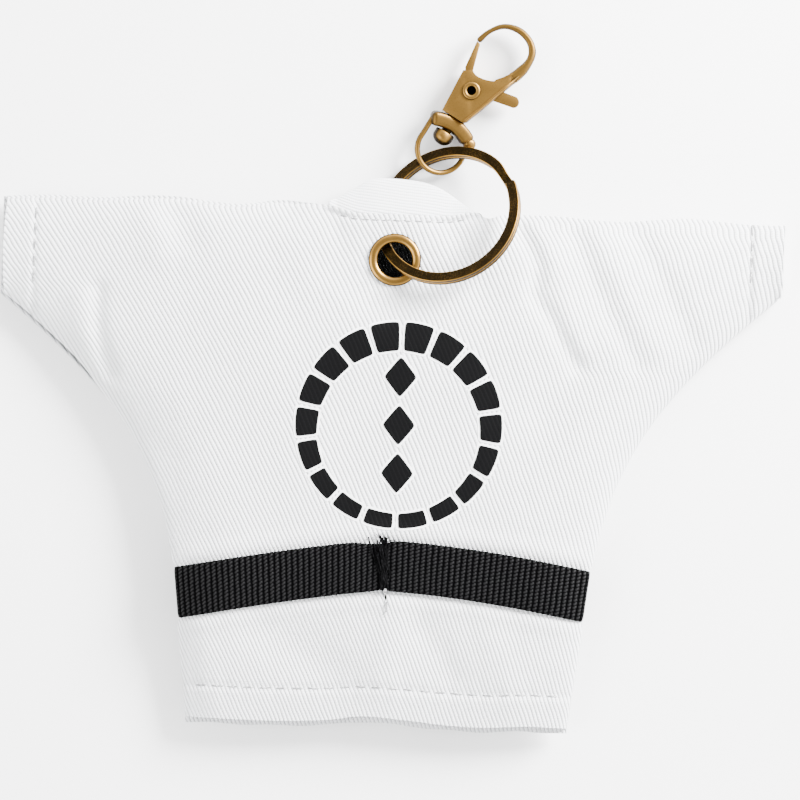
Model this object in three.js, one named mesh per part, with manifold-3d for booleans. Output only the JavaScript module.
// A miniature martial arts jacket on a key ring: a hollow cotton jacket lying on its front, a webbing belt,
// an eyelet below the back of the neck, a split ring through it, and a swivel trigger clasp on the ring.
// Millimetres. +X across the back towards the wearer's right sleeve, +Y towards the collar, +Z up, off the
// surface that the jacket lies on. The origin is on that surface, under the flat of the chest.
import * as THREE from "three";
import { mergeVertices } from "three/addons/utils/BufferGeometryUtils.js";
import Module from "manifold-3d";

const wasm = await Module();
wasm.setup();

// ---- Driving dimensions -------------------------------------------------------------------------------

const CLOTH = 0.7; // thickness of one panel with its lining
const CLEAR = 0.12; // gap between pieces that touch
const THREAD = 0.3; // thickness of a sewing thread
const HEM_STITCH = 7.3; // from the hem to its line of stitches

const SHOULDER_Y = 50.6; // fold along the top of both sleeves
const HEM_Y = -53.6; // lower edge of the back
const HEM_RISE = 0.9; // how much higher the hem's middle is than its corners
const FRONT_HEM_DROP = 0.7; // how far the fronts show below the back
const HEM_HALF = 38.2; // half the width at the hem
const WAIST_Y = -22; // height of the narrowest part above the skirt
const WAIST_HALF = 41.8; // half the width there
const SLEEVE_HALF = 78.4; // from the centre line to a cuff
const LEFT_CUFF = 20; // width of the left cuff's opening, as it lies
const RIGHT_CUFF = 15; // width of the right cuff's opening, as it lies
const NECK_MIDDLE = 1.7; // middle of the neck opening, across
const NECK_HALF = 15; // half the width of the neck opening
const NECK_DIP = 1.5; // how far the back neck edge lies below the shoulders
const CUFF_STITCH = 6.7; // from a cuff to its line of stitches
const NECK_STITCH = 1.2; // from the back neck edge to its line of stitches
const WAIST_FULL = 5.2; // between the cloth of the back and of the fronts at the waist
const EDGE_ROLL = 13; // distance over which the cloth rolls down to a fold or side seam

const COLLAR_RISE = 7.2; // width of the collar band
const COLLAR_FREE_HALF = 6; // half the straight length of the collar's free edge at the back
const COLLAR_THICK = 1.5; // folded collar band
const LAPEL_WIDTH = 7;
const LAPEL_GAP = 0.6; // between the layers where one lapel lies over the other
const LAPEL_END_Y = -23; // lower end of the outer lapel, under the belt
const CROSSING_Y = 12; // where the two lapels cross
const FRONT_OVERLAP = 9; // how far the inner front runs on under the outer front

const BELT_WIDTH = 10.1;
const BELT_THICK = 1.2;
const BELT_TOP_Y = -21; // middle of the belt at the centre back
const BELT_DROP_LEFT = 6.9; // how much lower the belt is at the left side
const BELT_DROP_RIGHT = 4.8; // and at the right side
const KNOT_LENGTH = 15; // across
const KNOT_HEIGHT = 12; // along the body
const KNOT_THICK = 3.4;
const TAIL_LENGTH = 22;
const TAIL_ANGLE = 34; // degrees between a tail and straight down

const EYELET_Y = 40;
const EYELET_X = 0.4;
const EYELET_HOLE_R = 3.45;
const EYELET_WALL = 0.45;
const EYELET_FLANGE = 1.8; // from the hole to the flange's edge
const EYELET_CROWN = 0.65; // height of the rolled flange over the cloth
const EYELET_CURL = 0.25; // thickness of the curl under the washer
const WASHER_THICK = 0.3;

const RING_R = 13.9; // middle of the split ring's wire
const RING_WIRE_WIDE = 2.1; // radial
const RING_COIL = 0.84; // thickness of one coil
const RING_TILT = 30; // degrees, its upper left side low
const RING_LOW = 1.75; // height of the ring's wire where it is lowest
const RING_TURN = 39.1; // degrees from +X to the axis that it tilts about
const RING_AT_EYELET = 183.2; // place on the ring, in degrees, that lies in the eyelet
const RING_STEP = 371; // place on the ring where its two ends meet the crossover
const RING_CROSSOVER = 20; // degrees over which the wire steps from coil to coil

const CLASP_ANGLE = 60; // degrees from +X to the clasp's axis
const CLASP_AT_RING = 64; // place on the ring, in degrees, where the loop hangs
const LOOP_R = 4.95; // middle of the loop's wire
const LOOP_WIRE = 1.1;
const LOOP_ROLL = 18; // degrees that the loop leans about the clasp's axis
const LOOP_LIFT = 0.6; // loop's middle over the ring's wire
const LOOP_OFFSET = 1.0; // loop's middle beside the stud's axis
const YOKE_RISE = 2.6; // radial size of the loop's crossbar
const YOKE_DEPTH = 3.0; // its size across the clasp's face
const STUD_R = 1.0;
const STUD_HEAD_R = 2.05;
const STUD_HEAD = 2.8; // length of the stud's head
const HOOK_THICK = 4.2; // body of the clasp
const HOOK_BAR = 2.4; // thickness of the hook itself
const HOOK_SLOT = 1.9; // slot for the trigger
const TRIGGER_THICK = 1.4;
const RIVET_R = 1.15;
const RIVET_HOLE_R = 0.85;
const RIVET_HEAD_R = 1.85;
const RIVET_HEAD = 0.35;
const PIVOT_Y = 10.6; // rivet, from the stud's head
const SPRING_WIRE = 0.3;

const EMBLEM_X = 2.4;
const EMBLEM_Y = 7.1;
const EMBLEM_R = 21.2; // outside of the printed ring
const EMBLEM_BAND = 4.6; // its radial width
const DIAMOND_HALF = 3.7; // half the height of a printed diamond
const DIAMOND_PITCH = 9.6; // from diamond to diamond
const FILM = 0.12; // thickness of the print

// ---- Small helpers ------------------------------------------------------------------------------------

const radians = THREE.MathUtils.degToRad;
const vec = (x, y, z) => new THREE.Vector3(x, y, z);
const clamp = THREE.MathUtils.clamp;
const lerp = THREE.MathUtils.lerp;
const ease = (x, from, to) => THREE.MathUtils.smoothstep(x, from, to);

// Quarter-round rise from 0 at an edge to 1 at distance reach from it.
const roll = (distance, reach) => Math.sqrt(1 - (1 - clamp(distance / reach, 0, 1)) ** 2);

// Value at y of a smooth curve through [y, value] stations, by cubic Hermite pieces.
function through(stations, y) {
  const last = stations.length - 1;
  const at = clamp(y, stations[0][0], stations[last][0]);
  let i = 0;
  while (i < last - 1 && at > stations[i + 1][0]) i += 1;
  const slope = (k) => {
    const a = stations[Math.max(k - 1, 0)];
    const b = stations[Math.min(k + 1, last)];
    return (b[1] - a[1]) / (b[0] - a[0]);
  };
  const [y0, v0] = stations[i];
  const [y1, v1] = stations[i + 1];
  const h = y1 - y0;
  const t = (at - y0) / h;
  const t2 = t * t;
  const t3 = t2 * t;
  return (2 * t3 - 3 * t2 + 1) * v0 + (t3 - 2 * t2 + t) * h * slope(i)
    + (3 * t2 - 2 * t3) * v1 + (t3 - t2) * h * slope(i + 1);
}

const group = new THREE.Group();
group.name = "martial_arts_jacket_key_ring";

const cotton = { color: 0xf2f3f5, roughness: 0.9, metalness: 0 };
const webbing = { color: 0x121214, roughness: 0.8, metalness: 0 };
const brass = { color: 0x8a6a38, roughness: 0.35, metalness: 1 };
const ink = { color: 0x0c0c0e, roughness: 0.45, metalness: 0 };
const thread = { color: 0xe8e6e0, roughness: 0.8, metalness: 0 };

function add(name, geometry, look, parent = group) {
  const mesh = new THREE.Mesh(geometry, new THREE.MeshStandardMaterial(look));
  mesh.name = name;
  parent.add(mesh);
  return mesh;
}

// A closed geometry from points and triangles, turned so that its faces point outwards.
function closed(points, triangles) {
  let volume = 0;
  for (const [a, b, c] of triangles) {
    volume += points[a].dot(points[b].clone().cross(points[c]));
  }
  const facing = volume < 0 ? triangles.map(([a, b, c]) => [a, c, b]) : triangles;
  const geometry = new THREE.BufferGeometry().setFromPoints(points);
  geometry.setIndex(facing.flat());
  return geometry;
}

// A skin between two surfaces, each a function of column i and row j.
function skin(columns, rows, outer, inner) {
  const points = [];
  for (const side of [outer, inner]) {
    for (let j = 0; j <= rows; j += 1) {
      for (let i = 0; i <= columns; i += 1) points.push(side(i, j));
    }
  }
  const wide = columns + 1;
  const under = wide * (rows + 1);
  const triangles = [];
  const quad = (a, b, c, d) => triangles.push([a, b, c], [a, c, d]);
  for (let j = 0; j < rows; j += 1) {
    for (let i = 0; i < columns; i += 1) {
      const k = j * wide + i;
      quad(k, k + 1, k + 1 + wide, k + wide);
      quad(under + k, under + k + wide, under + k + 1 + wide, under + k + 1);
    }
  }
  for (let i = 0; i < columns; i += 1) {
    const top = rows * wide + i;
    quad(i + 1, i, under + i, under + i + 1);
    quad(top, top + 1, under + top + 1, under + top);
  }
  for (let j = 0; j < rows; j += 1) {
    const left = j * wide;
    const right = left + columns;
    quad(left, left + wide, under + left + wide, under + left);
    quad(right + wide, right, under + right, under + right + wide);
  }
  return closed(points, triangles);
}

// A bar through a list of like rings of points: a closed loop, or with a flat cap at each end.
function loft(rings, isLoop = false) {
  const sides = rings[0].length;
  const points = rings.flat();
  const triangles = [];
  const spans = isLoop ? rings.length : rings.length - 1;
  for (let j = 0; j < spans; j += 1) {
    const a = j * sides;
    const b = ((j + 1) % rings.length) * sides;
    for (let i = 0; i < sides; i += 1) {
      const n = (i + 1) % sides;
      triangles.push([a + i, a + n, b + n], [a + i, b + n, b + i]);
    }
  }
  const end = (rings.length - 1) * sides;
  for (let i = 1; !isLoop && i < sides - 1; i += 1) {
    triangles.push([0, i + 1, i], [end, end + i, end + i + 1]);
  }
  return closed(points, triangles);
}

// Boolean work: geometries in, one geometry out.
function solid(geometry) {
  const bare = geometry.clone();
  bare.deleteAttribute("normal");
  bare.deleteAttribute("uv");
  const merged = mergeVertices(bare, 1e-4);
  return new wasm.Manifold(new wasm.Mesh({
    numProp: 3,
    vertProperties: new Float32Array(merged.attributes.position.array),
    triVerts: new Uint32Array(merged.index.array),
  }));
}

function geometryOf(manifold) {
  const mesh = manifold.getMesh();
  const geometry = new THREE.BufferGeometry();
  geometry.setAttribute("position", new THREE.BufferAttribute(mesh.vertProperties, 3));
  geometry.setIndex(new THREE.BufferAttribute(mesh.triVerts, 1));
  return geometry;
}

const join = (first, ...others) => geometryOf(others.reduce((s, g) => s.add(solid(g)), solid(first)));
const cut = (first, ...others) => geometryOf(others.reduce((s, g) => s.subtract(solid(g)), solid(first)));

// A plate of the given outline, centred on z = 0.
function plate(shape, thick, curveSegments = 6) {
  const geometry = new THREE.ExtrudeGeometry(shape, { depth: thick, bevelEnabled: false, curveSegments });
  return geometry.translate(0, 0, -thick / 2);
}

// A cylinder along z from z0 to z1.
function post(radius, z0, z1, sides = 24) {
  const geometry = new THREE.CylinderGeometry(radius, radius, z1 - z0, sides);
  return geometry.rotateX(Math.PI / 2).translate(0, 0, (z0 + z1) / 2);
}

// ---- Outline of the jacket, laid flat -----------------------------------------------------------------

const cuffLowY = (side) => SHOULDER_Y - (side < 0 ? LEFT_CUFF : RIGHT_CUFF);

// The underarm runs in one curve from the waist to the lower corner of the cuff.
const underarm = {};
for (const side of [-1, 1]) {
  const rise = cuffLowY(side) - WAIST_Y;
  const reach = SLEEVE_HALF - WAIST_HALF;
  const curve = new THREE.CubicBezierCurve(
    new THREE.Vector2(WAIST_HALF, WAIST_Y),
    new THREE.Vector2(WAIST_HALF + reach * 0.1, WAIST_Y + rise * 0.45),
    new THREE.Vector2(WAIST_HALF + reach * 0.42, WAIST_Y + rise * 0.68),
    new THREE.Vector2(SLEEVE_HALF, cuffLowY(side)),
  );
  underarm[side] = curve.getPoints(60);
}

// Half the jacket's width at height y, on one side.
function halfWidth(side, y) {
  if (y <= WAIST_Y) return lerp(HEM_HALF, WAIST_HALF, clamp((y - HEM_Y) / (WAIST_Y - HEM_Y), 0, 1));
  const points = underarm[side];
  for (let i = 1; i < points.length; i += 1) {
    const [a, b] = [points[i - 1], points[i]];
    if (y <= b.y) return lerp(a.x, b.x, (y - a.y) / (b.y - a.y));
  }
  return SLEEVE_HALF;
}

// Distance from a point to the side seam and underarm.
function toSide(x, y) {
  const side = x < 0 ? -1 : 1;
  const at = new THREE.Vector2(Math.abs(x), y);
  const below = y < WAIST_Y ? halfWidth(side, y) - at.x : Infinity;
  return Math.max(0, Math.min(below, ...underarm[side].map((p) => p.distanceTo(at))));
}

const neckDip = (x) => NECK_DIP * (1 - ease(Math.abs(x - NECK_MIDDLE), NECK_HALF * 0.55, NECK_HALF * 1.1));
const hemLift = (x) => HEM_RISE * (1 - ease(Math.abs(x), 0, HEM_HALF * 0.8));

// ---- Heights of the jacket's two faces ----------------------------------------------------------------

const KNOT_TOP = KNOT_THICK + CLEAR;
const FRONT_WAIST_Z = KNOT_TOP + BELT_THICK + 3 * CLEAR;
const BACK_WAIST_Z = FRONT_WAIST_Z + WAIST_FULL;
const ringRise = (degrees) => -RING_R * Math.sin(radians(degrees)) * Math.sin(radians(RING_TILT));
const RING_CENTRE_Z = RING_R * Math.sin(radians(RING_TILT)) + RING_LOW;
const EYELET_Z = RING_CENTRE_Z + ringRise(RING_AT_EYELET); // middle of the cloth at the eyelet
const EYELET_TOP_Z = EYELET_Z + CLOTH / 2;

const backSpine = [
  [HEM_Y, 6.4],
  [WAIST_Y - 17, 8.8],
  [WAIST_Y, BACK_WAIST_Z],
  [WAIST_Y + 22, 10.9],
  [SHOULDER_Y - 28, 10.8],
  [EYELET_Y, EYELET_TOP_Z],
  [SHOULDER_Y - 5, EYELET_TOP_Z - 0.5],
  [SHOULDER_Y, EYELET_TOP_Z - 1.6],
];
const frontSpine = [
  [HEM_Y - 2, 1.4 + BELT_THICK],
  [WAIST_Y - 18, FRONT_WAIST_Z - 0.8],
  [WAIST_Y - 11, FRONT_WAIST_Z],
  [WAIST_Y + 4, FRONT_WAIST_Z],
  [WAIST_Y + 11, FRONT_WAIST_Z * 0.35],
  [WAIST_Y + 17, 0],
  [SHOULDER_Y - 30, 0],
  [SHOULDER_Y, 0.4],
];
const seamSpine = [
  [HEM_Y, 3.6],
  [WAIST_Y, (FRONT_WAIST_Z + BACK_WAIST_Z) / 2 - 0.6],
  [WAIST_Y + 30, 4.6],
  [SHOULDER_Y, 4.2],
];
const seamZ = (x, y) => through(seamSpine, y) - 1.3 * ease(Math.abs(x), WAIST_HALF, SLEEVE_HALF);

// 0 at the folds and side seams, 1 where the jacket is full.
function fullness(x, y) {
  const fold = ease(Math.abs(x - NECK_MIDDLE), NECK_HALF * 0.8, NECK_HALF * 1.6);
  return roll(toSide(x, y), EDGE_ROLL) * lerp(1, roll(SHOULDER_Y - y, EDGE_ROLL), fold);
}

// The sleeves are flatter than the body.
const sleeveShare = (x) => 1 - 0.5 * ease(Math.abs(x), WAIST_HALF * 0.5, SLEEVE_HALF);
const toEyelet = (x, y) => Math.hypot(x - EYELET_X, y - EYELET_Y);
const EYELET_R = EYELET_HOLE_R + EYELET_FLANGE;

function backZ(x, y) {
  const seam = seamZ(x, y);
  const full = (through(backSpine, y) - seam) * sleeveShare(x) * fullness(x, y);
  const z = seam + Math.max(full, CLOTH + CLEAR / 2);
  return lerp(EYELET_TOP_Z, z, ease(toEyelet(x, y), EYELET_R + 1.5, EYELET_R + 9));
}

function frontZ(x, y) {
  const seam = seamZ(x, y);
  const rounder = lerp(1, 1.05, 1 - sleeveShare(x));
  const full = Math.max(seam - through(frontSpine, y), 0) * rounder * fullness(x, y);
  return Math.max(0, seam - Math.max(full, CLOTH + CLEAR / 2));
}

// ---- Back panel ---------------------------------------------------------------------------------------

const COLUMNS = 26;
const ROWS = 22;
const spreadOut = (share) => Math.sin((share * Math.PI) / 2); // -1..1, closer together at the ends

// The point of the outline grid at share u across (-1..1) and v up (0..1).
function onOutline(u, v, hem) {
  const y = lerp(hem, SHOULDER_Y, v);
  const x = u * halfWidth(u < 0 ? -1 : 1, y);
  return [x, y - neckDip(x) * ease(v, 0.8, 1) + hemLift(x) * (1 - ease(v, 0, 0.3))];
}

function backPanel() {
  const at = (i, j) => onOutline(spreadOut((2 * i) / COLUMNS - 1), j / ROWS, HEM_Y);
  const outer = (i, j) => {
    const [x, y] = at(i, j);
    return vec(x, y, backZ(x, y));
  };
  const inner = (i, j) => {
    const [x, y] = at(i, j);
    return vec(x, y, Math.max(backZ(x, y) - CLOTH, seamZ(x, y) + CLEAR / 2));
  };
  const hole = post(EYELET_HOLE_R + EYELET_WALL + CLEAR, EYELET_Z - 4, EYELET_Z + 4, 28);
  // The eyelet's flange and washer press the cloth flat around the hole.
  const above = post(EYELET_R + CLEAR, EYELET_TOP_Z, EYELET_TOP_Z + 3, 28);
  const below = post(EYELET_R + CLEAR, EYELET_TOP_Z - CLOTH - 3, EYELET_TOP_Z - CLOTH, 28);
  const tools = [hole, above, below].map((tool) => tool.translate(EYELET_X, EYELET_Y, 0));
  return cut(skin(COLUMNS, ROWS, outer, inner), ...tools);
}

// ---- Front panels -------------------------------------------------------------------------------------

// Across, where the neck edge of one front lies at height y: the lapel's seam, then straight on to the hem.
function frontEdge(side, y) {
  const neck = NECK_MIDDLE + side * NECK_HALF;
  const crossing = NECK_MIDDLE + side * LAPEL_WIDTH;
  const slant = (neck - crossing) / (SHOULDER_Y - CROSSING_Y);
  const x = neck - slant * (SHOULDER_Y - y);
  return side < 0 ? x : Math.max(x, NECK_MIDDLE - FRONT_OVERLAP);
}

// side -1 is the outer front, side 1 the inner one, which lies above the outer lapel where they overlap.
function frontPanel(side) {
  const columns = 12;
  const hem = HEM_Y - FRONT_HEM_DROP;
  const layer = side < 0 ? 0 : COLLAR_THICK + LAPEL_GAP;
  const at = (i, j) => {
    const y = lerp(hem, SHOULDER_Y, j / ROWS);
    const edge = frontEdge(side, y);
    const share = spreadOut(i / columns);
    const x = lerp(edge, side * halfWidth(side, y), share);
    const besideLapel = 1 - ease(side * x, LAPEL_WIDTH * 1.5, LAPEL_WIDTH * 3);
    const under = besideLapel * (1 - ease(y, CROSSING_Y - 10, CROSSING_Y + 14));
    return [x, y, layer * under];
  };
  const outer = (i, j) => {
    const [x, y, lift] = at(i, j);
    return vec(x, y, frontZ(x, y) + lift);
  };
  const inner = (i, j) => {
    const [x, y, lift] = at(i, j);
    return vec(x, y, Math.min(frontZ(x, y) + lift + CLOTH, seamZ(x, y) - CLEAR / 2));
  };
  return skin(columns, ROWS, outer, inner);
}

add("back_panel", backPanel(), cotton);
add("left_front_panel", frontPanel(-1), cotton);
add("right_front_panel", frontPanel(1), cotton);

// ---- Collar band: both lapels and the back of the neck in one folded strip ------------------------------

const NECK_EDGE_Y = SHOULDER_Y - NECK_DIP;
const NECK_EDGE_Z = backZ(NECK_MIDDLE, SHOULDER_Y) - CLOTH / 2;
const NECK_SEAM_GAP = 0.08 * ((2 * SLEEVE_HALF) / COLUMNS); // clears the back panel's flat facets
const CREST_Y = NECK_EDGE_Y + COLLAR_RISE;
const CREST_Z = RING_LOW + RING_WIRE_WIDE + COLLAR_THICK / 2;

// One station of the band: its sewn edge, its free edge and the way its outer face looks.
function lapelStation(side, y) {
  const x = frontEdge(-1, y);
  const across = side < 0 ? x + CLEAR : 2 * NECK_MIDDLE - x - CLEAR;
  const tuck = side < 0 ? 0 : (COLLAR_THICK + LAPEL_GAP) * (1 - ease(y, CROSSING_Y, CROSSING_Y + 14));
  const z = frontZ(across, y) + tuck + COLLAR_THICK / 2;
  const free = across - side * (LAPEL_WIDTH - CLEAR);
  return { sewn: vec(across, y, z), free: vec(free, y, z), face: vec(0, 0, -1) };
}

// The back of the collar, at share -1..1 across; it rolls over to the front at both ends.
function backStation(share, facing) {
  const sewnY = NECK_EDGE_Y + NECK_DIP * ease(Math.abs(share), 0.5, 1) + NECK_SEAM_GAP;
  const sewnX = NECK_MIDDLE + share * NECK_HALF;
  const drop = 1.8 * share ** 4;
  return {
    sewn: vec(sewnX, sewnY, NECK_EDGE_Z - drop),
    free: vec(NECK_MIDDLE + share * COLLAR_FREE_HALF, CREST_Y - 0.5 * share ** 2, CREST_Z),
    face: facing.normalize(),
  };
}

const LAPEL_STEPS = 14;
const LAPEL_HIDDEN = 4; // the inner lapel ends this many steps up, out of sight
function collarBand() {
  const stations = [];
  const lapelY = (k) => lerp(LAPEL_END_Y, SHOULDER_Y - 5, k / LAPEL_STEPS);
  for (let k = 0; k <= LAPEL_STEPS; k += 1) stations.push(lapelStation(-1, lapelY(k)));
  stations.push(backStation(-1.02, vec(-0.7, 0.5, -0.7)));
  stations.push(backStation(-1, vec(-0.6, 0.7, 0.5)));
  for (let k = -3; k <= 3; k += 1) stations.push(backStation(k / 4, vec(0, 0.4, 1)));
  stations.push(backStation(1, vec(0.6, 0.7, 0.5)));
  stations.push(backStation(1.02, vec(0.7, 0.5, -0.7)));
  for (let k = LAPEL_STEPS; k >= LAPEL_HIDDEN; k -= 1) stations.push(lapelStation(1, lapelY(k)));
  return loft(stations.map(({ sewn, free, face }) => {
    const half = face.clone().multiplyScalar(COLLAR_THICK / 2);
    return [
      sewn.clone().add(half),
      free.clone().add(half),
      free.clone().sub(half),
      sewn.clone().sub(half),
    ];
  }));
}

add("collar_band", collarBand(), cotton);

// ---- Belt ---------------------------------------------------------------------------------------------

const BELT_GAP = 2 * CLEAR;
const BELT_SIDE_Y = { "-1": BELT_TOP_Y - BELT_DROP_LEFT, 1: BELT_TOP_Y - BELT_DROP_RIGHT };
const BELT_FRONT_Y = (BELT_SIDE_Y[-1] + BELT_SIDE_Y[1]) / 2;

function beltBackY(share) {
  return share < 0
    ? BELT_TOP_Y - BELT_DROP_LEFT * Math.abs(share) ** 1.2
    : BELT_TOP_Y - BELT_DROP_RIGHT * share ** 1.6;
}

// A point off the jacket's face, at share -1..1 across and y, raised by off.
function offBack(share, y, off) {
  const half = halfWidth(share < 0 ? -1 : 1, y);
  return vec(share * (half + off), y, backZ(share * half, y) + off);
}

function offFront(share, y, off) {
  const half = halfWidth(share < 0 ? -1 : 1, y);
  return vec(share * (half + off), y, frontZ(share * half, y) - off);
}

function beltBand() {
  const around = 22;
  const rows = [-0.5, 0, 0.5].map((w) => w * BELT_WIDTH);
  const section = (point) => [
    ...rows.map((w) => point(w, BELT_GAP + BELT_THICK)),
    ...rows.toReversed().map((w) => point(w, BELT_GAP)),
  ];
  const rings = [];
  for (let k = 0; k <= around; k += 1) {
    const share = spreadOut((2 * k) / around - 1);
    rings.push(section((w, off) => offBack(share, beltBackY(share) + w, off)));
  }
  for (let k = around; k >= 0; k -= 1) {
    const share = spreadOut((2 * k) / around - 1);
    const y = lerp(BELT_SIDE_Y[-1], BELT_SIDE_Y[1], (share + 1) / 2);
    rings.push(section((w, off) => offFront(share, y + w, off)));
  }
  return loft(rings, true);
}

// A tail leaves each lower side of the flat knot squarely, TAIL_ANGLE to the side of straight down.
const tailSlope = Math.tan(radians(TAIL_ANGLE));
const TAIL_ROOT_X = BELT_WIDTH / 2 * Math.cos(radians(TAIL_ANGLE)) + 2 * CLEAR;
const TAIL_ROOT_Y = BELT_FRONT_Y - KNOT_HEIGHT / 2 + TAIL_ROOT_X * tailSlope
  - 2 * CLEAR / Math.cos(radians(TAIL_ANGLE));

function beltKnot() {
  const half = KNOT_LENGTH / 2;
  const top = KNOT_HEIGHT / 2;
  const lower = -top + half * tailSlope;
  const shape = new THREE.Shape([
    new THREE.Vector2(0, -top),
    new THREE.Vector2(half, lower),
    new THREE.Vector2(half, top - 2.5),
    new THREE.Vector2(half - 2, top),
    new THREE.Vector2(2 - half, top),
    new THREE.Vector2(-half, top - 2.5),
    new THREE.Vector2(-half, lower),
  ]);
  return plate(shape, KNOT_THICK).translate(0, BELT_FRONT_Y, KNOT_THICK / 2);
}

function tail(side) {
  const strip = new THREE.BoxGeometry(BELT_WIDTH, TAIL_LENGTH, BELT_THICK);
  strip.translate(0, -TAIL_LENGTH / 2, BELT_THICK / 2);
  strip.rotateZ(side * radians(TAIL_ANGLE));
  return strip.translate(side * TAIL_ROOT_X, TAIL_ROOT_Y, 0);
}

// The tack that gathers the belt and holds it to the middle of the back.
function beltTack() {
  const off = BELT_GAP + BELT_THICK + CLEAR;
  const half = 1.4;
  const at = (i, j, lift) => {
    const x = lerp(-half, half, i / 2);
    const y = BELT_TOP_Y + lerp(-0.47, 0.47, j / 2) * BELT_WIDTH;
    return vec(x, y, backZ(x, y) + off + lift);
  };
  return skin(2, 2, (i, j) => at(i, j, THREAD), (i, j) => at(i, j, 0));
}

add("belt_band", beltBand(), webbing);
add("belt_knot", beltKnot(), webbing);
add("belt_tail_left", tail(-1), webbing);
add("belt_tail_right", tail(1), webbing);
add("belt_tack", beltTack(), webbing);

// ---- Lines of stitching, each one thread lying on the back --------------------------------------------

function stitching(steps, route) {
  const rings = [];
  for (let k = 0; k <= steps; k += 1) {
    const [x, y] = route(k / steps);
    const [nx, ny] = route(Math.min(k / steps + 0.001, 1.001));
    const along = new THREE.Vector2(nx - x, ny - y).normalize();
    const corner = (side, up) => {
      const px = x - side * along.y * (THREAD / 2);
      const py = y + side * along.x * (THREAD / 2);
      return vec(px, py, backZ(x, y) + CLEAR + up * THREAD);
    };
    rings.push([corner(-1, 0), corner(1, 0), corner(1, 1), corner(-1, 1)]);
  }
  return loft(rings);
}

const hemRoute = (t) => {
  const x = lerp(-0.96, 0.96, t) * HEM_HALF;
  return [x, HEM_Y + HEM_STITCH + hemLift(x)];
};
const cuffRoute = (side) => (t) => {
  const low = cuffLowY(side) + 1;
  return [side * (SLEEVE_HALF - CUFF_STITCH), lerp(low, SHOULDER_Y - 1, t)];
};
const neckRoute = (t) => {
  const x = NECK_MIDDLE + lerp(-0.9, 0.9, t) * NECK_HALF;
  return [x, SHOULDER_Y - neckDip(x) - NECK_STITCH];
};

add("hem_stitching", stitching(24, hemRoute), thread);
add("left_cuff_stitching", stitching(12, cuffRoute(-1)), thread);
add("right_cuff_stitching", stitching(12, cuffRoute(1)), thread);
add("collar_stitching", stitching(12, neckRoute), thread);

// ---- Printed emblem: a plain ring and three diamonds --------------------------------------------------

const onPrint = (x, y, up) => vec(x, y, backZ(x, y) + 2 * CLEAR + up * FILM);

function emblemRing() {
  const steps = 40;
  const rings = [];
  for (let k = 0; k < steps; k += 1) {
    const turn = (k / steps) * 2 * Math.PI;
    const at = (r, up) => onPrint(EMBLEM_X + r * Math.cos(turn), EMBLEM_Y + r * Math.sin(turn), up);
    const inside = EMBLEM_R - EMBLEM_BAND;
    rings.push([at(inside, 0), at(EMBLEM_R, 0), at(EMBLEM_R, 1), at(inside, 1)]);
  }
  return loft(rings, true);
}

function diamond(place) {
  const y = EMBLEM_Y + place * DIAMOND_PITCH;
  const at = (i, j, up) => onPrint(
    EMBLEM_X + ((i - j) / 2) * DIAMOND_HALF * 0.8,
    y + ((i + j) / 2 - 1) * DIAMOND_HALF,
    up,
  );
  return skin(2, 2, (i, j) => at(i, j, 1), (i, j) => at(i, j, 0));
}

add("emblem_ring", emblemRing(), ink);
["lower", "middle", "upper"].forEach((name, k) => add("emblem_diamond_" + name, diamond(k - 1), ink));

// ---- Eyelet -------------------------------------------------------------------------------------------

// Rolled flange on the cloth, straight barrel through it, and the curl that holds the washer underneath.
function eyeletBarrel() {
  const hole = EYELET_HOLE_R;
  const wall = hole + EYELET_WALL;
  const top = CLOTH / 2 + CLEAR / 2;
  const curl = -top - WASHER_THICK - CLEAR / 2;
  const profile = [
    [hole, curl + 0.3],
    [hole + 0.25, curl - EYELET_CURL * 0.4],
    [wall + 0.4, curl - EYELET_CURL],
    [wall + 0.5, curl],
    [wall, curl],
    [wall, top],
    [EYELET_R - 0.1, top],
    [EYELET_R, top + 0.15],
    [hole + 1.35, top + EYELET_CROWN * 0.8],
    [hole + 0.8, top + EYELET_CROWN],
    [hole + 0.25, top + EYELET_CROWN * 0.7],
    [hole, top],
    [hole, curl + 0.3],
  ].map(([r, z]) => new THREE.Vector2(r, z));
  return new THREE.LatheGeometry(profile, 28).rotateX(Math.PI / 2).translate(EYELET_X, EYELET_Y, EYELET_Z);
}

function eyeletWasher() {
  const inside = EYELET_HOLE_R + EYELET_WALL + CLEAR;
  const top = -CLOTH / 2 - CLEAR / 2;
  const profile = [
    [inside, top - WASHER_THICK],
    [EYELET_R - 0.3, top - WASHER_THICK],
    [EYELET_R - 0.3, top],
    [inside, top],
    [inside, top - WASHER_THICK],
  ].map(([r, z]) => new THREE.Vector2(r, z));
  return new THREE.LatheGeometry(profile, 28).rotateX(Math.PI / 2).translate(EYELET_X, EYELET_Y, EYELET_Z);
}

add("eyelet_barrel", eyeletBarrel(), brass);
add("eyelet_washer", eyeletWasher(), brass);

// ---- Split ring ---------------------------------------------------------------------------------------

const tilt = radians(RING_TILT);
const turned = radians(RING_TURN);
const ringAlong = vec(Math.cos(turned), Math.sin(turned), 0);
const ringAcross = vec(-Math.sin(turned), Math.cos(turned), 0)
  .multiplyScalar(Math.cos(tilt))
  .add(vec(0, 0, -Math.sin(tilt)));
const ringAxis = ringAlong.clone().cross(ringAcross);
const ringOut = (degrees) => ringAlong.clone().multiplyScalar(Math.cos(radians(degrees)))
  .addScaledVector(ringAcross, Math.sin(radians(degrees)));
const ringCentre = vec(EYELET_X, EYELET_Y, EYELET_Z).addScaledVector(ringOut(RING_AT_EYELET), -RING_R);
const onRing = (degrees) => ringCentre.clone().addScaledVector(ringOut(degrees), RING_R);

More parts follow.
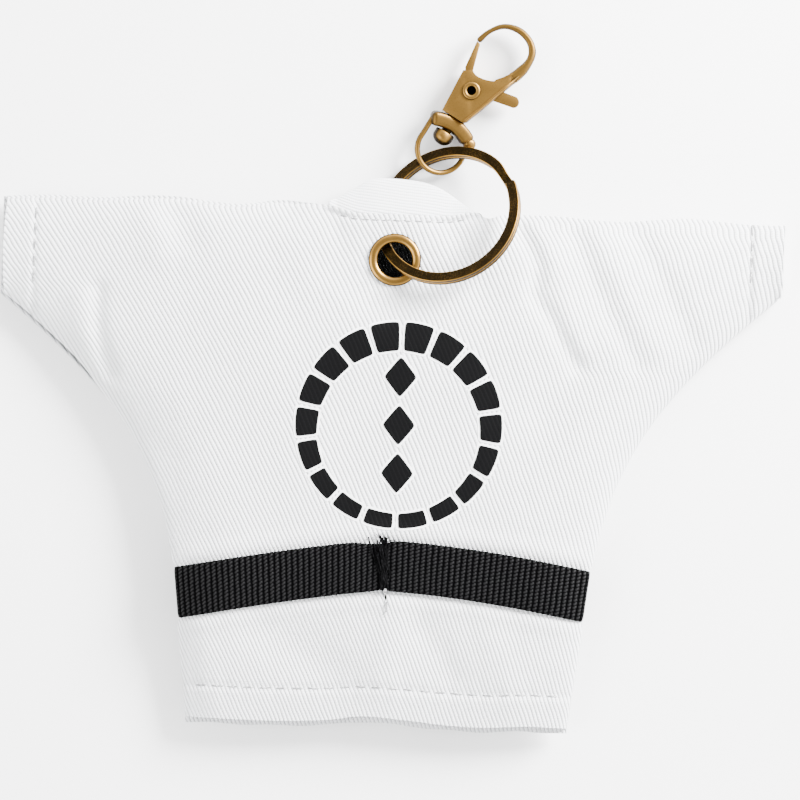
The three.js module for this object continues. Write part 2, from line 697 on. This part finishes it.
// Two flat coils of one wire, joined by a short crossover, with an end of the wire on each side of it.
function splitRing() {
  const gap = CLEAR / 2;
  const lift = (RING_COIL + gap) / 2;
  const endGap = 2;
  const from = RING_STEP + endGap / 2;
  const to = RING_STEP + 720 - RING_CROSSOVER - endGap / 2;
  const steps = 76;
  const rings = [];
  for (let k = 0; k <= steps; k += 1) {
    const at = lerp(from, to, k / steps);
    const over = ease(at, RING_STEP + 360 - RING_CROSSOVER, RING_STEP + 360);
    const axial = lerp(-lift, lift, over);
    const corner = (radial, up) => onRing(at)
      .addScaledVector(ringOut(at), radial * (RING_WIRE_WIDE / 2))
      .addScaledVector(ringAxis, axial + up * (RING_COIL / 2));
    rings.push([corner(-1, -1), corner(1, -1), corner(1, 1), corner(-1, 1)]);
  }
  return loft(rings);
}

add("split_ring", splitRing(), brass);

// ---- Clasp --------------------------------------------------------------------------------------------
// In the clasp's own frame +Y runs along its axis from the stud's head to the hook, +X to the thumb tab's
// side and +Z out of its face.

const clasp = new THREE.Group();
const claspX = vec(Math.sin(radians(CLASP_ANGLE)), -Math.cos(radians(CLASP_ANGLE)), 0);
const claspY = vec(Math.cos(radians(CLASP_ANGLE)), Math.sin(radians(CLASP_ANGLE)), 0);
const LOOP_MIDDLE_Y = -2.3; // middle of the loop, from the stud's head
const loopMiddle = onRing(CLASP_AT_RING).addScaledVector(claspY, 1.25).addScaledVector(claspX, -0.45);
clasp.position.copy(loopMiddle)
  .addScaledVector(claspY, -LOOP_MIDDLE_Y)
  .addScaledVector(claspX, -LOOP_OFFSET)
  .add(vec(0, 0, LOOP_LIFT + LOOP_OFFSET * Math.sin(radians(LOOP_ROLL))));
clasp.rotation.z = radians(CLASP_ANGLE - 90);
group.add(clasp);

const loop = new THREE.Group();
loop.rotation.y = radians(LOOP_ROLL);
clasp.add(loop);

// Rounded crossbar with the stud's hole, and the wire bow from one end of it to the other.
const YOKE_BOTTOM = 1.45; // underside of the crossbar at the stud
function swivelLoop() {
  const yokeArc = 9; // radius of the crossbar's gentle arch
  const spanLeft = -4.3 + LOOP_OFFSET - 1;
  const spanRight = 5.2 + LOOP_OFFSET - 1;
  const bow = [];
  for (let k = 0; k <= 12; k += 1) {
    const a = radians(lerp(172, 368, k / 12));
    bow.push(vec(LOOP_OFFSET + LOOP_R * Math.cos(a), LOOP_MIDDLE_Y + LOOP_R * Math.sin(a), 0));
  }
  const yokeMiddle = YOKE_BOTTOM + YOKE_RISE / 2;
  const path = new THREE.CatmullRomCurve3([
    vec(spanLeft + 0.4, yokeMiddle - 0.9, 0),
    ...bow,
    vec(spanRight + 0.3, yokeMiddle - 2, 0),
  ]);
  const round = new THREE.Shape().absarc(0, 0, LOOP_WIRE / 2, 0, 2 * Math.PI);
  const wire = new THREE.ExtrudeGeometry(round, {
    steps: 28, curveSegments: 4, extrudePath: path, bevelEnabled: false,
  });
  const stations = [];
  for (let k = 0; k <= 8; k += 1) {
    const x = lerp(spanLeft, spanRight, k / 8);
    const y = yokeMiddle - (yokeArc - Math.sqrt(yokeArc ** 2 - (x - 0.3) ** 2));
    const slope = Math.asin((x - 0.3) / yokeArc);
    const section = [];
    for (let n = 0; n < 12; n += 1) {
      const a = ((n + 0.5) / 12) * 2 * Math.PI;
      const out = (YOKE_RISE / 2) * Math.sign(Math.cos(a)) * Math.abs(Math.cos(a)) ** 0.6;
      const deep = (YOKE_DEPTH / 2) * Math.sign(Math.sin(a)) * Math.abs(Math.sin(a)) ** 0.6;
      section.push(vec(x + out * Math.sin(slope), y + out * Math.cos(slope), deep));
    }
    stations.push(section);
  }
  const lug = post(1.05, -YOKE_DEPTH / 2 + 0.5, YOKE_DEPTH / 2 - 0.3, 12);
  lug.translate(spanRight + 0.3, yokeMiddle - 1.5, 0);
  const hole = post(STUD_R + CLEAR, -8, 8).rotateX(Math.PI / 2);
  return cut(join(wire, loft(stations), lug), hole);
}

// The stud's head and shank, turned about the clasp's axis.
const BODY_BOTTOM = YOKE_BOTTOM + YOKE_RISE + 2 * CLEAR;
const BODY_FLOOR = BODY_BOTTOM + 1.4; // bottom of the trigger's slot
function swivelStud() {
  const top = YOKE_BOTTOM - 4 * CLEAR;
  const profile = [
    [0, top - STUD_HEAD],
    [STUD_HEAD_R * 0.55, top - STUD_HEAD * 0.95],
    [STUD_HEAD_R * 0.9, top - STUD_HEAD * 0.75],
    [STUD_HEAD_R, top - STUD_HEAD * 0.5],
    [STUD_HEAD_R, top - 0.4],
    [STUD_HEAD_R * 0.8, top],
    [STUD_R, top],
    [STUD_R, BODY_FLOOR - CLEAR],
    [0, BODY_FLOOR - CLEAR],
  ].map(([r, y]) => new THREE.Vector2(r, y));
  return new THREE.LatheGeometry(profile, 24);
}

const hookCurve = (points) => new THREE.SplineCurve(points.map(([x, y]) => new THREE.Vector2(x, y)));
const HOOK_OUTSIDE = [
  [5.9, 14.9], [7.1, 18], [7.65, 21.5], [6.8, 24.2], [4.4, 26.1],
  [1.2, 26.55], [-1.9, 25.3], [-3.8, 22.6], [-4.6, 20.1],
];
const HOOK_INSIDE = [
  [-3.5, 20.1], [-2.8, 22.5], [-0.9, 24.7], [1.9, 25.3],
  [4.5, 24.5], [5.85, 22.6], [5.5, 19.6], [4.4, 17], [2.9, 15.0],
];

// Cast body: a flat, slotted body and a thinner open hook that grows out of it.
function hookBody() {
  const hook = new THREE.Shape(hookCurve(HOOK_OUTSIDE).getPoints(22));
  for (const p of hookCurve(HOOK_INSIDE).getPoints(22)) hook.lineTo(p.x, p.y);
  hook.lineTo(2.9, 13);
  hook.lineTo(5.1, 13);
  hook.closePath();
  const body = new THREE.Shape();
  body.moveTo(-2.9, BODY_BOTTOM);
  body.lineTo(2.1, BODY_BOTTOM);
  body.quadraticCurveTo(2.6, BODY_BOTTOM + 0.3, 2.9, BODY_BOTTOM + 1.6);
  body.lineTo(5.9, 14.9);
  body.quadraticCurveTo(5.9, 16.3, 5.2, 17);
  body.quadraticCurveTo(3.6, 14.6, 1.4, 14.0);
  body.quadraticCurveTo(-1, 13.3, -1.9, 14.2);
  body.lineTo(-3.6, 13.2);
  body.closePath();
  const slot = new THREE.Shape();
  slot.moveTo(-6, BODY_FLOOR);
  slot.lineTo(6, BODY_FLOOR);
  slot.lineTo(9, 10);
  slot.lineTo(6.4, 14.2);
  slot.lineTo(2.7, 13.5);
  slot.lineTo(2.7, 16);
  slot.lineTo(-6, 18);
  slot.closePath();
  const rivetHole = post(RIVET_R + CLEAR, -5, 5).translate(0, PIVOT_Y, 0);
  const studHole = post(STUD_R + CLEAR, -4, 4).rotateX(Math.PI / 2).translate(0, BODY_FLOOR - 1, 0);
  const cast = join(plate(hook, HOOK_BAR), plate(body, HOOK_THICK));
  return cut(cast, plate(slot, HOOK_SLOT), rivetHole, studHole);
}

// Trigger: the gate arm up to the hook's tip, the hub on the rivet, and the thumb tab.
const HUB_R = 2.4;
function gateLever() {
  const arm = new THREE.Shape();
  arm.moveTo(-1.9, PIVOT_Y + 1);
  arm.lineTo(0.9, PIVOT_Y + 1.6);
  arm.lineTo(-1.9, 14.3);
  arm.lineTo(-3.5, 19.5);
  arm.lineTo(-4.35, 19.7);
  arm.lineTo(-3.6, 14);
  arm.closePath();
  const tab = new THREE.Shape();
  tab.moveTo(0.9, PIVOT_Y + 1.8);
  tab.lineTo(5.9, 13.9);
  tab.lineTo(8.4, 14.4);
  tab.quadraticCurveTo(9.6, 14, 9.5, 13);
  tab.quadraticCurveTo(9.3, 12.2, 8.6, 12.1);
  tab.lineTo(4.6, 11.2);
  tab.lineTo(1.9, PIVOT_Y - 1);
  tab.closePath();
  const hub = post(HUB_R, -TRIGGER_THICK / 2, TRIGGER_THICK / 2).translate(0, PIVOT_Y, 0);
  const bore = post(RIVET_R + 2 * CLEAR + SPRING_WIRE * 1.2, -3, 3).translate(0, PIVOT_Y, 0);
  return cut(join(hub, plate(arm, TRIGGER_THICK), plate(tab, TRIGGER_THICK)), bore);
}

// Hollow rivet, flanged at both ends.
function gateRivet() {
  const face = HOOK_THICK / 2 + CLEAR;
  const profile = [
    [RIVET_HOLE_R, -face - RIVET_HEAD],
    [RIVET_HEAD_R, -face - RIVET_HEAD * 0.5],
    [RIVET_HEAD_R, -face],
    [RIVET_R, -face],
    [RIVET_R, face],
    [RIVET_HEAD_R, face],
    [RIVET_HEAD_R, face + RIVET_HEAD * 0.5],
    [RIVET_HOLE_R, face + RIVET_HEAD],
    [RIVET_HOLE_R, -face - RIVET_HEAD],
  ].map(([r, z]) => new THREE.Vector2(r, z));
  return new THREE.LatheGeometry(profile, 20).rotateX(Math.PI / 2).translate(0, PIVOT_Y, 0);
}

// Torsion spring round the rivet, inside the trigger's hub.
function gateSpring() {
  const r = RIVET_R + CLEAR + SPRING_WIRE / 2;
  const turns = 2;
  const steps = 28;
  const height = TRIGGER_THICK - SPRING_WIRE;
  const rings = [];
  for (let k = 0; k <= steps; k += 1) {
    const a = (k / steps) * turns * 2 * Math.PI;
    const z = lerp(-height / 2, height / 2, k / steps);
    const corner = (out, up) => {
      const at = r + out * (SPRING_WIRE / 2);
      return vec(at * Math.cos(a), PIVOT_Y + at * Math.sin(a), z + up * (SPRING_WIRE / 2));
    };
    rings.push([corner(-1, -1), corner(1, -1), corner(1, 1), corner(-1, 1)]);
  }
  return loft(rings);
}

add("swivel_loop", swivelLoop(), brass, loop);
add("swivel_stud", swivelStud(), brass, clasp);
add("hook_body", hookBody(), brass, clasp);
add("gate_lever", gateLever(), brass, clasp);
add("gate_rivet", gateRivet(), brass, clasp);
add("gate_spring", gateSpring(), brass, clasp);

// ---- Joint places and axes, in the part's frame --------------------------------------------------------

clasp.updateMatrixWorld(true);
const inPart = (x, y, z) => clasp.localToWorld(vec(x, y, z));
// The ring turns about the straight line from the eyelet to where it comes out under the collar.
const RING_EXIT = 105;
const tailAxis = (side) => vec(Math.cos(radians(TAIL_ANGLE)), side * Math.sin(radians(TAIL_ANGLE)), 0);
group.userData.joints = {
  ring_lift: {
    at: onRing(RING_AT_EYELET),
    axis: onRing(RING_AT_EYELET).sub(onRing(RING_EXIT)).normalize(),
  },
  loop_slide: { at: ringCentre, axis: ringAxis.clone().negate() },
  hook_swivel: { at: inPart(0, 0, 0), axis: claspY },
  gate_open: { at: inPart(0, PIVOT_Y, 0), axis: vec(0, 0, -1) },
  tail_left_fold: { at: vec(-TAIL_ROOT_X, TAIL_ROOT_Y, 0), axis: tailAxis(-1) },
  tail_right_fold: { at: vec(TAIL_ROOT_X, TAIL_ROOT_Y, 0), axis: tailAxis(1) },
};

export default group;
